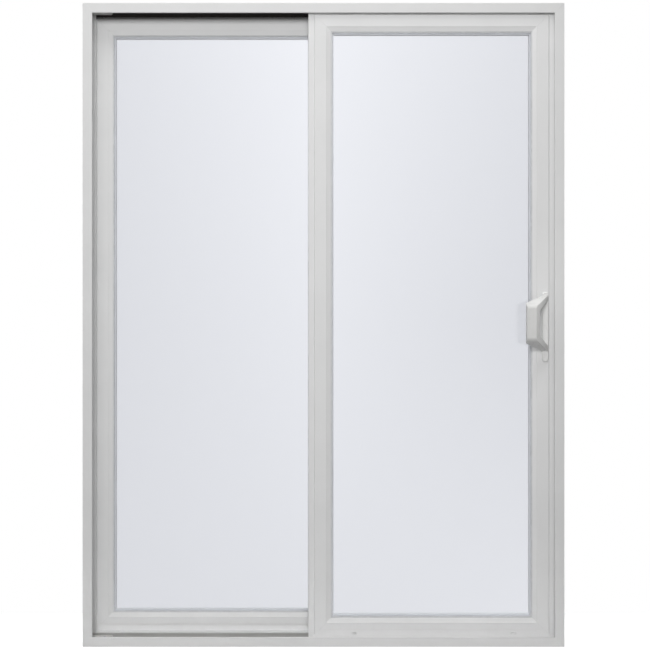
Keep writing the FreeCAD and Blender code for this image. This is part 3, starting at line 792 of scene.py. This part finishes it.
@dataclass
class Finishes:
    """Every finish of the door, built once."""

    vinyl: Dict[Grain, bpy.types.Material] = field(default_factory=dict)
    frame_vinyl: Dict[Grain, bpy.types.Material] = field(default_factory=dict)
    frame_light: Colour = (0.760, 0.761, 0.760)
    frame_dark: Colour = (0.730, 0.731, 0.730)

    def __post_init__(self) -> None:
        """Build the materials."""
        for grain in Grain:
            self.vinyl[grain] = VinylFinish(f"white_vinyl_{grain.value}", grain).build()
            # The frame's vinyl carries painted shade in its lanes.
            self.frame_vinyl[grain] = VinylFinish(
                f"frame_vinyl_{grain.value}", grain, self.frame_light, self.frame_dark, lane_shade_share=1.0
            ).build()
        self.seam = MouldedFinish("weld_seam", (0.74, 0.74, 0.74), (0.69, 0.69, 0.69)).build()
        self.handle = PowderCoat("white_powder_coat").build()
        # The plate's coat is painted lighter than the pulls' coat: painted light where the grip shades the
        # plate.
        self.plate = PowderCoat("plate_coat_painted_light", (0.80, 0.80, 0.79), (0.775, 0.775, 0.765)).build()
        self.gasket = RubberFinish("grey_gasket", (0.72, 0.725, 0.735), (0.65, 0.655, 0.665)).build()
        self.setting = RubberFinish("black_rubber", (0.035, 0.035, 0.035), (0.015, 0.015, 0.015)).build()
        self.stop = MouldedFinish("stop_plastic", (0.70, 0.69, 0.67), (0.62, 0.61, 0.59)).build()
        self.nylon = MouldedFinish("roller_nylon", (0.72, 0.70, 0.65), (0.64, 0.62, 0.57)).build()
        self.plug = MouldedFinish("plug_plastic", (0.74, 0.74, 0.74), (0.68, 0.68, 0.68)).build()
        self.spacer = MetalFinish(
            "spacer_aluminium",
            (0.95, 0.95, 0.96),
            (0.91, 0.91, 0.92),
            scratch_scale=(40.0, 40.0, 40.0),
            roughness=(0.45, 0.62),
            metallic=0.1,
        ).build()
        self.track = MetalFinish("track_aluminium", (0.74, 0.74, 0.75), (0.62, 0.62, 0.64)).build()
        self.lock = MetalFinish(
            "lock_steel", (0.64, 0.64, 0.65), (0.52, 0.52, 0.54), (1100.0, 1100.0, 12.0)
        ).build()
        self.screw = MetalFinish(
            "screw_steel", (0.66, 0.66, 0.67), (0.50, 0.50, 0.52), (90.0, 90.0, 90.0)
        ).build()
        self.carriage = SpangledSteel("carriage_steel").build()
        self.pile = PileFinish("black_pile").build()


@dataclass
class ScrewKit:
    """Cross-head screws, modelled once and copied."""

    finishes: Finishes
    radius: float = 3.6 * MM
    height: float = 2.0 * MM
    recess_length: float = 4.0 * MM
    recess_width: float = 0.9 * MM
    recess_depth: float = 1.2 * MM
    crown_inset: float = 0.35
    crown_rise: float = 0.15
    edge_ease: float = 0.35 * MM
    ease_segments: int = 2
    sides: int = 20
    pattern: Optional[bpy.types.Object] = None

    def build(self) -> None:
        """Model the head at the origin, standing on the XY plane with its recess up."""
        halfway_up = (0.0, 0.0, self.height / 2)
        head = disc("screw_pattern", self.radius, self.height, halfway_up, self.sides)
        pick_faces(head, lambda middle, normal: normal.z > SQUARELY)
        bpy.ops.mesh.inset(thickness=self.radius * self.crown_inset)
        bpy.ops.transform.translate(value=(0.0, 0.0, self.height * self.crown_rise))
        close_edit()
        apply_bevel(head, self.edge_ease, self.ease_segments)
        crown = (0.0, 0.0, self.height * (1.0 + self.crown_rise))
        size = (self.recess_length, self.recess_width, self.recess_depth * 2)
        for turn in (0.0, math.pi / 2):
            cut_out(head, block("screw_cutter", size, crown, (0.0, 0.0, turn)))
        smooth(head)
        self.pattern = head

    def put(self, name: str, place: Triple, turn: Triple, body: str) -> None:
        """Copy the screw to a place.

        Args:
            name: The copy's name.
            place: Where the head stands.
            turn: Its turn about X, Y and Z.
            body: The body that it rides on.
        """
        finish_piece(copy_to(self.pattern, name, place, turn), body, self.finishes.screw)

    def clear(self) -> None:
        """Remove the pattern."""
        bpy.data.objects.remove(self.pattern)


@dataclass
class CornerSeams:
    """The cleaned weld seams that run across the mitred corners."""

    finishes: Finishes
    width: float = 1.3 * MM
    proud: float = 0.25 * MM
    ease_share: float = 0.8
    ease_segments: int = 2

    def strip(self, name: str, corner: Triple, way: Way, run: Span) -> bpy.types.Object:
        """Model one strip on a flat face.

        Args:
            name: The strip's name.
            corner: The outer corner of the face that it lies on.
            way: The signs of X and Z towards the middle of the panel.
            run: Where it starts and ends, in from both edges.

        Returns:
            The strip.
        """
        start, end = run
        middle = (start + end) / 2
        place = (corner[0] + way[0] * middle, corner[1], corner[2] + way[1] * middle)
        tilt = -way[0] * way[1] * math.pi / 4
        length = (end - start) * math.sqrt(2.0)
        piece = block(name, (length, self.proud * 2, self.width), place, (0.0, tilt, 0.0))
        apply_bevel(piece, self.proud * self.ease_share, self.ease_segments)
        smooth(piece)
        return piece

    def around(self, name: str, box: Box, depth: float, run: Span, body: str) -> None:
        """Lay a strip at each corner of a mitred frame.

        Args:
            name: The first word of the strips' names.
            box: The frame's lowest and highest corners.
            depth: The Y of the face.
            run: Where a strip starts and ends, in from the edges.
            body: The body that carries them.
        """
        low, high = box
        for across, x, step_x in (("left", low.x, 1), ("right", high.x, -1)):
            for level, z, step_z in (("low", low.z, 1), ("high", high.z, -1)):
                piece = self.strip(f"{name}_{level}_{across}", (x, depth, z), (step_x, step_z), run)
                finish_piece(piece, body, self.finishes.seam)


@dataclass
class OuterFrame:
    """The frame round both panels, with its seams and fixing screws."""

    finishes: Finishes
    seams: CornerSeams
    screws: ScrewKit
    seam_run: Span = (1.0 * MM, 27.5 * MM)
    wall: float = 8.0 * MM

    def dress_members(self) -> None:
        """Dress the four members."""
        for node in ("left_jamb", "right_jamb"):
            dress(node, self.finishes.frame_vinyl[Grain.UPRIGHT])
        for node in ("frame_head", "frame_sill"):
            dress(node, self.finishes.frame_vinyl[Grain.LEVEL])

    def lay_seams(self) -> None:
        """Lay the seams on the room face and the weather face."""
        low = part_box("left_jamb")[0]
        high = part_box("right_jamb")[1]
        for facing, depth in ((Facing.ROOM, low.y), (Facing.WEATHER, high.y)):
            name = f"frame_seam_{facing.value}"
            self.seams.around(name, (low, high), depth, self.seam_run, FRAME_BODY)

    def drive_screws(self) -> None:
        """Set a screw in each of the jambs' fixing holes."""
        for mount in frame["record"]["mounts"]:
            if mount["kind"] != "bolt_pattern":
                continue
            x, y, z = mount["pos_m"]
            half = mount["dims"]["spacing_y_mm"] * MM / 2
            if x < 0:
                side, turn, seat = "left", TO_RIGHT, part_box("left_jamb")[0].x + self.wall
            else:
                side, turn, seat = "right", TO_LEFT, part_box("right_jamb")[1].x - self.wall
            for level, height in (("low", z - half), ("high", z + half)):
                self.screws.put(f"{side}_jamb_screw_{level}", (seat, y, height), turn, FRAME_BODY)

    def build(self) -> None:
        """Build and dress the frame."""
        self.dress_members()
        self.lay_seams()
        self.drive_screws()


@dataclass(frozen=True)
class EasedCopy:
    """Stands a copy of a node with eased edges in the node's place."""

    ease: float
    ease_segments: int = 3
    merge_within: float = 0.02 * MM
    flat_angle: float = 0.6
    ease_angle: float = 24.0
    smooth_angle: float = 40.0
    node_marks: Tuple[str, str] = ("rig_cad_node", "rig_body")

    def model(self, node: str, name: str) -> bpy.types.Object:
        """Copy a node and ease its edges.

        Args:
            node: The node.
            name: The copy's name.

        Returns:
            The copy.
        """
        hold(frame["nodes"][node])
        bpy.ops.object.duplicate(linked=False)
        piece = bpy.context.object
        piece.name = name
        bpy.ops.object.parent_clear(type="CLEAR_KEEP_TRANSFORM")
        for key in self.node_marks:
            if key in piece:
                del piece[key]
        bpy.ops.object.mode_set(mode="EDIT")
        bpy.ops.mesh.select_all(action="SELECT")
        bpy.ops.mesh.remove_doubles(threshold=self.merge_within)
        bpy.ops.mesh.dissolve_limited(angle_limit=math.radians(self.flat_angle))
        close_edit()
        apply_bevel(piece, self.ease, self.ease_segments, self.ease_angle)
        smooth(piece, self.smooth_angle)
        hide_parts(node)
        return piece


@dataclass
class GlazedPanel:
    """A panel of four mitred members, its beads and its sealed glass."""

    finishes: Finishes
    seams: CornerSeams
    name: str
    body: str
    stiles: Tuple[str, str]
    glass: ClearGlass
    face_run: Span = (35.0 * MM, 56.5 * MM)
    back_run: Span = (2.0 * MM, 68.0 * MM)
    spacer_bar: EasedCopy = EasedCopy(0.8 * MM)
    spacer_gap: float = 0.4 * MM

    def outline(self) -> Box:
        """Give the panel's lowest and highest corners."""
        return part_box(self.stiles[0])[0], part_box(self.stiles[1])[1]

    def dress_members(self) -> None:
        """Dress the members, the beads and the interlock strip."""
        for node in self.stiles:
            dress(node, self.finishes.vinyl[Grain.UPRIGHT])
        for part in ("left_bead", "right_bead", "interlock"):
            dress(f"{self.name}_{part}", self.finishes.vinyl[Grain.UPRIGHT])
        for part in ("top_rail", "bottom_rail", "top_bead", "bottom_bead"):
            dress(f"{self.name}_{part}", self.finishes.vinyl[Grain.LEVEL])

    def dress_glazing(self) -> None:
        """Dress the glass, its spacer and its gaskets."""
        dress(f"{self.name}_glass_panes", self.glass.build())
        dress(f"{self.name}_glazing_gaskets", self.finishes.gasket)
        node = f"{self.name}_glass_spacer"
        low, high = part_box(node)
        piece = self.spacer_bar.model(node, f"{self.name}_spacer_bar")
        pick_faces(piece, lambda middle, normal: True)
        share = 1.0 - 2.0 * self.spacer_gap / (high.y - low.y)
        bpy.ops.transform.resize(value=(1.0, share, 1.0), center_override=((low + high) / 2))
        close_edit()
        finish_piece(piece, self.body, self.finishes.spacer)

    def lay_seams(self) -> None:
        """Lay the seams on both faces of the panel."""
        low, high = self.outline()
        sides = ((Facing.ROOM, low.y, self.face_run), (Facing.WEATHER, high.y, self.back_run))
        for facing, depth, run in sides:
            self.seams.around(f"{self.name}_seam_{facing.value}", (low, high), depth, run, self.body)

    def build(self) -> None:
        """Build and dress the panel."""
        self.dress_members()
        self.dress_glazing()
        self.lay_seams()


@dataclass
class HandleSet:
    """The plate and the two pulls, whose edges are eased as a casting's are."""

    finishes: Finishes
    casting: EasedCopy = EasedCopy(1.2 * MM)

    def eased(self, node: str, name: str) -> None:
        """Stand an eased casting in a node's place."""
        piece = self.casting.model(node, name)
        finish_piece(piece, PANEL_BODY, self.finishes.handle)

    def build(self) -> None:
        """Build and dress the handle."""
        dress("handle_plate", self.finishes.plate)
        self.eased("inside_pull", "inside_pull_casting")
        self.eased("outside_pull", "outside_pull_casting")


@dataclass
class HeadSeal:
    """The black pile in the head's slot, with its tufts."""

    finishes: Finishes
    tuft_pitch: float = 2.4 * MM
    tuft_reach: float = 2.8 * MM
    tuft_width: float = 2.3 * MM
    tuft_droop: float = 8.0 * MM
    tip_share: float = 0.6
    tuft_ease: float = 0.2 * MM
    ease_segments: int = 1

    def tufts(self) -> None:
        """Model one drooping tuft and repeat it along the seal."""
        low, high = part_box("head_pile_seal")
        bottom = low.z - self.tuft_droop
        count = int((high.x - low.x) / self.tuft_pitch)
        middle = (low.x + self.tuft_pitch / 2, low.y - self.tuft_reach / 2, (bottom + high.z) / 2)
        piece = block("head_pile_tufts", (self.tuft_width, self.tuft_reach, high.z - bottom), middle)
        pick_faces(piece, lambda centre, normal: normal.z < -SQUARELY)
        share = (self.tip_share, self.tip_share, 1.0)
        bpy.ops.transform.resize(value=share, center_override=(middle[0], middle[1], bottom))
        close_edit()
        apply_bevel(piece, self.tuft_ease, self.ease_segments)
        row = piece.modifiers.new("row", "ARRAY")
        row.count = count
        row.use_relative_offset = False
        row.use_constant_offset = True
        row.constant_offset_displace = (self.tuft_pitch, 0.0, 0.0)
        hold(piece)
        bpy.ops.object.modifier_apply(modifier=row.name)
        finish_piece(piece, FRAME_BODY, self.finishes.pile)

    def build(self) -> None:
        """Build and dress the seal."""
        dress("head_pile_seal", self.finishes.pile)
        self.tufts()


@dataclass
class RunningGear:
    """The track, the travel stops, the rollers and their adjuster plugs."""

    finishes: Finishes
    screws: ScrewKit
    track_screws: int = 5
    track_screw_inset: float = 140.0 * MM
    track_screw_row: Span = (4.2 * MM, 2.0 * MM)
    stop_screws: Tuple[Tuple[str, float], ...] = (("inner", 0.28), ("outer", 0.72))
    plug_cap: EasedCopy = EasedCopy(0.5 * MM)
    plug_rim: float = 1.5 * MM
    plug_dish: float = 0.6 * MM
    plug_slot: Triple = (7.0 * MM, 2.4 * MM, 1.2 * MM)

    def dress_nodes(self) -> None:
        """Dress the carried-over nodes."""
        dress("roller_track", self.finishes.track)
        dress("rollers", self.finishes.nylon)
        dress("setting_blocks", self.finishes.setting)
        for node in ("left_roller_carriage", "right_roller_carriage"):
            dress(node, self.finishes.carriage)
        for node in ("sill_stop", "head_stop"):
            dress(node, self.finishes.stop)

    def plugs(self) -> None:
        """Stand eased plugs with dished fronts and turning slots in the place of the plain ones."""
        low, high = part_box("adjuster_plugs")
        piece = self.plug_cap.model("adjuster_plugs", "adjuster_plug_caps")
        front = low.y + self.plug_dish / 2
        pick_faces(piece, lambda middle, normal: normal.y < -SQUARELY and middle.y < front)
        bpy.ops.mesh.inset(thickness=self.plug_rim)
        bpy.ops.transform.translate(value=(0.0, self.plug_dish, 0.0))
        close_edit()
        height = (low.z + high.z) / 2
        inset = self.plug_slot[0] / 2 + (high.z - low.z) / 2
        for x in (low.x + inset, high.x - inset):
            cut_out(piece, block("plug_cutter", self.plug_slot, (x, low.y + self.plug_dish, height)))
        smooth(piece)
        finish_piece(piece, PANEL_BODY, self.finishes.plug)

    def drive_screws(self) -> None:
        """Screw down the track's foot and both stops."""
        low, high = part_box("roller_track")
        start, end = low.x + self.track_screw_inset, high.x - self.track_screw_inset
        step = (end - start) / (self.track_screws - 1)
        y, z = low.y + self.track_screw_row[0], low.z + self.track_screw_row[1]
        for number in range(self.track_screws):
            self.screws.put(f"track_screw_{number}", (start + step * number, y, z), UPWARDS, FRAME_BODY)
        for node, turn in (("sill_stop", UPWARDS), ("head_stop", DOWNWARDS)):
            near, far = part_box(node)
            level = far.z if turn == UPWARDS else near.z
            for end_name, share in self.stop_screws:
                place = (near.x + (far.x - near.x) * share, (near.y + far.y) / 2, level)
                self.screws.put(f"{node}_screw_{end_name}", place, turn, FRAME_BODY)

    def build(self) -> None:
        """Build and dress the running gear."""
        self.dress_nodes()
        self.plugs()
        self.drive_screws()


@dataclass
class LockSet:
    """The lock in the stile's edge and the keeper on the jamb."""

    finishes: Finishes
    screws: ScrewKit
    screw_inset: float = 14.0 * MM

    def build(self) -> None:
        """Dress the lock and the keeper and screw them on."""
        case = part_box("lock_case")
        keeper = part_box("lock_keeper")
        dress("lock_case", self.finishes.lock)
        dress("lock_keeper", self.finishes.lock)
        middle = (case[0].y + case[1].y) / 2
        sets = (
            ("lock", case, case[1].x, TO_RIGHT, PANEL_BODY),
            ("keeper", keeper, keeper[0].x, TO_LEFT, FRAME_BODY),
        )
        for name, (low, high), x, turn, body in sets:
            for level, z in (("low", low.z + self.screw_inset), ("high", high.z - self.screw_inset)):
                self.screws.put(f"{name}_screw_{level}", (x, middle, z), turn, body)


@dataclass(frozen=True)
class Lamp:
    """A soft lamp: its place, what it points at, its size, its power in watts and its spread in degrees."""

    name: str
    place: Triple
    target: Triple
    size: Span
    power: float
    spread: float = 180.0

    def hang(self) -> None:
        """Hang the lamp where no eye, mirror or glass sees it."""
        deselect()
        bpy.ops.object.light_add(type="AREA", location=self.place)
        lamp = bpy.context.object
        lamp.name = f"lamp_{self.name}"
        lamp.data.shape = "RECTANGLE"
        lamp.data.size, lamp.data.size_y = self.size
        lamp.data.energy = self.power
        lamp.data.spread = math.radians(self.spread)
        lamp.visible_camera = False
        lamp.visible_glossy = False
        lamp.visible_transmission = False
        aim = Vector(self.target) - Vector(self.place)
        lamp.rotation_euler = aim.to_track_quat("-Z", "Y").to_euler()


@dataclass
class Studio:
    """A white room: floor, backdrop, soft lamps and the camera."""

    camera_place: Triple = (0.0047, -3.058, 1.0095)
    camera_turn: Triple = (math.pi / 2, 0.0, 0.0)
    lens: float = 52.99
    sensor: float = 36.0
    floor_size: float = 14.0
    floor_drop: float = 0.6 * MM
    backdrop_light: float = 0.16
    backdrop_colour: Colour = (1.0, 0.995, 0.985)
    near_glow: float = 0.72
    far_glow: float = 1.0
    glow_reach: Span = (0.09, 0.30)
    floor_seen: Colour = (0.66, 0.66, 0.66)
    floor_lit: Colour = (0.42, 0.42, 0.42)
    lamps: Tuple[Lamp, ...] = (
        Lamp("overhead", (-0.45, -1.3, 4.0), (0.0, 0.0, 0.6), (3.0, 1.4), 34.0),
        Lamp("front", (-0.5, -5.0, 1.1), (0.0, 0.0, 0.8), (4.4, 2.2), 44.0),
        Lamp("key", (-0.25, -3.0, 2.35), (0.0, 0.0, 0.5), (1.6, 0.7), 38.0),
        Lamp("low", (0.0, -2.4, 0.9), (0.0, 0.0, -0.05), (2.4, 0.2), 0.38, 17.0),
        Lamp("handle", (0.92, -0.30, 2.1), (0.665, -0.09, 1.04), (0.1, 0.1), 0.026, 10.0),
        Lamp("rear", (0.4, 3.6, 2.8), (0.0, 0.0, 1.0), (3.0, 2.4), 95.0),
    )

    def seen_directly(self, tree: bpy.types.NodeTree) -> Socket:
        """Tell the rays that the eye, a reflection or glass sends out.

        Args:
            tree: The nodes that it adds to.

        Returns:
            1 for such a ray and 0 for the light on a surface.
        """
        path = tree.nodes.new("ShaderNodeLightPath")
        seen = path.outputs["Is Camera Ray"]
        for ray in ("Is Glossy Ray", "Is Transmission Ray"):
            either = tree.nodes.new("ShaderNodeMath")
            either.operation = "MAXIMUM"
            tree.links.new(seen, either.inputs[0])
            tree.links.new(path.outputs[ray], either.inputs[1])
            seen = either.outputs["Value"]
        return seen

    def world(self) -> None:
        """Make the backdrop white to the eye and soft grey as light."""
        world = bpy.data.worlds.new("studio")
        bpy.context.scene.world = world
        world.use_nodes = True
        nodes, links = world.node_tree.nodes, world.node_tree.links
        light = nodes["Background"]
        light.inputs["Color"].default_value = (*self.backdrop_colour, 1.0)
        light.inputs["Strength"].default_value = self.backdrop_light
        white = nodes.new("ShaderNodeBackground")
        white.inputs["Color"].default_value = (*WHITE, 1.0)
        choice = nodes.new("ShaderNodeMixShader")
        links.new(self.seen_directly(world.node_tree), choice.inputs["Fac"])
        links.new(light.outputs["Background"], choice.inputs[1])
        links.new(white.outputs["Background"], choice.inputs[2])
        links.new(choice.outputs["Shader"], nodes["World Output"].inputs["Surface"])

    def floor(self) -> None:
        """Lay a pale floor that keeps the door's shadow."""
        deselect()
        bpy.ops.mesh.primitive_plane_add(size=self.floor_size, location=(0.0, 0.0, -self.floor_drop))
        piece = bpy.context.object
        piece.name = "studio_floor"
        settle(piece)
        sheet = NodeSheet("studio_floor")
        sheet.set(Roughness=1.0, Specular_IOR_Level=0.0)
        seen = self.seen_directly(sheet.tree)
        depth = sheet.reckon("ABSOLUTE", sheet.along(Fade.BACK, *UNIT, False))
        away = sheet.spread(depth, self.glow_reach, UNIT)
        lit = sheet.add("ShaderNodeRGB").outputs["Color"]
        lit.default_value = (*self.floor_lit, 1.0)
        sheet.paint(sheet.mix(seen, lit, sheet.blend(away, UNIT, self.floor_seen, BLACK)))
        glow = sheet.reckon("MULTIPLY", seen, sheet.spread(away, UNIT, (self.near_glow, self.far_glow)))
        sheet.shader.inputs["Emission Color"].default_value = (*WHITE, 1.0)
        sheet.link(glow, sheet.shader.inputs["Emission Strength"])
        piece.data.materials.append(sheet.material)

    def lights(self) -> None:
        """Hang the lamps."""
        for lamp in self.lamps:
            lamp.hang()

    def camera(self) -> None:
        """Set the camera level with the door's middle."""
        deselect()
        bpy.ops.object.camera_add(location=self.camera_place, rotation=self.camera_turn)
        eye = bpy.context.object
        eye.name = "camera"
        eye.data.lens = self.lens
        eye.data.sensor_width = self.sensor
        bpy.context.scene.camera = eye

    def build(self) -> None:
        """Set up the studio."""
        self.world()
        self.floor()
        self.lights()
        self.camera()
        bpy.context.scene.view_settings.view_transform = "Standard"


# The glass colours, graded up each pane and across it as painted reflections over a faint blue tint.
FIXED_LEFT_TINT_REFLECTION: TintReflectionStops = ((0.829, 0.837, 0.862), (0.838, 0.846, 0.871), (0.860, 0.868, 0.893))
FIXED_RIGHT_TINT_REFLECTION: TintReflectionStops = ((0.855, 0.863, 0.888), (0.893, 0.901, 0.926), (0.939, 0.947, 0.972))
SLIDING_LEFT_TINT_REFLECTION: TintReflectionStops = ((0.855, 0.863, 0.888), (0.890, 0.898, 0.923), (0.934, 0.942, 0.967))
SLIDING_RIGHT_TINT_REFLECTION: TintReflectionStops = ((0.868, 0.876, 0.901), (0.829, 0.837, 0.862), (0.860, 0.868, 0.893))
FIXED_ACROSS: Span = (-0.68, -0.04)
SLIDING_ACROSS: Span = (0.02, 0.66)


def main() -> None:
    """Build the door in order, then the studio."""
    logging.basicConfig(level=logging.INFO, format="%(name)s: %(message)s")
    finishes = Finishes()
    screws = ScrewKit(finishes)
    screws.build()
    seams = CornerSeams(finishes)
    OuterFrame(finishes, seams, screws).build()
    stiles = ("fixed_jamb_stile", "fixed_meeting_stile")
    glass = ClearGlass("fixed_clear_glass", FIXED_LEFT_TINT_REFLECTION, FIXED_RIGHT_TINT_REFLECTION, FIXED_ACROSS)
    GlazedPanel(finishes, seams, "fixed", FRAME_BODY, stiles, glass).build()
    stiles = ("sliding_meeting_stile", "sliding_lock_stile")
    glass = ClearGlass("sliding_clear_glass", SLIDING_LEFT_TINT_REFLECTION, SLIDING_RIGHT_TINT_REFLECTION, SLIDING_ACROSS)
    GlazedPanel(finishes, seams, "sliding", PANEL_BODY, stiles, glass).build()
    HandleSet(finishes).build()
    HeadSeal(finishes).build()
    RunningGear(finishes, screws).build()
    LockSet(finishes, screws).build()
    screws.clear()
    Studio().build()


if __name__ == "__main__":
    main()
